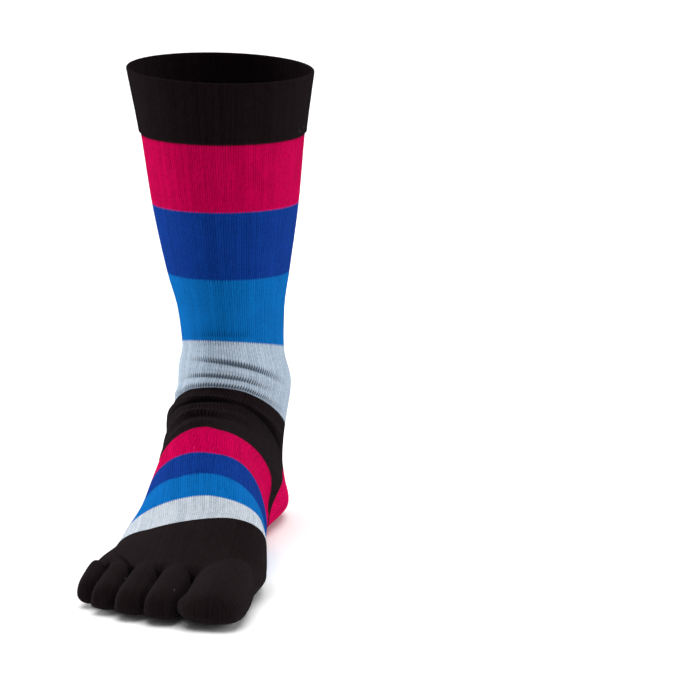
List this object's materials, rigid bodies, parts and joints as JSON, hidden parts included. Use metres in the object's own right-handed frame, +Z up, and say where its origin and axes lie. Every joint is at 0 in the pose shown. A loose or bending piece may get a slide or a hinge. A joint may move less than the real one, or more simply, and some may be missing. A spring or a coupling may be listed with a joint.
{
  "type": "toe sock",
  "caption": "Knitted sock with separate toe pockets, a double cuff, striped leg and instep and a coloured heel pocket, in its worn form for a right foot.",
  "frame": {"origin": "centre of the ankle joint inside the sock", "axes": "+Z up the shin, -Y towards the toes, +X towards the big toe's side"},
  "size_m": [0.1145, 0.2756, 0.285],
  "materials": {
    "black_knit": "black fine-gauge rib knit, matt with a soft sheen",
    "raspberry_knit": "raspberry fine-gauge rib knit, matt with a soft sheen",
    "royal_knit": "royal blue fine-gauge rib knit, matt with a soft sheen",
    "azure_knit": "azure fine-gauge rib knit, matt with a soft sheen",
    "ice_knit": "pale ice blue fine-gauge rib knit, matt with a soft sheen"
  },
  "bodies": {
    "root": {"cuff": "black_knit", "leg_stripe_raspberry": "raspberry_knit", "leg_stripe_royal": "royal_knit", "leg_stripe_azure": "azure_knit", "leg_stripe_ice": "ice_knit", "ankle_band": "black_knit", "heel_pocket": "raspberry_knit", "foot_stripe_raspberry": "raspberry_knit", "foot_stripe_royal": "royal_knit", "foot_stripe_azure": "azure_knit", "foot_stripe_ice": "ice_knit", "forefoot": "black_knit", "toe_big": "black_knit", "toe_second": "black_knit", "toe_third": "black_knit", "toe_fourth": "black_knit", "toe_little": "black_knit"}
  },
  "joints": []
}
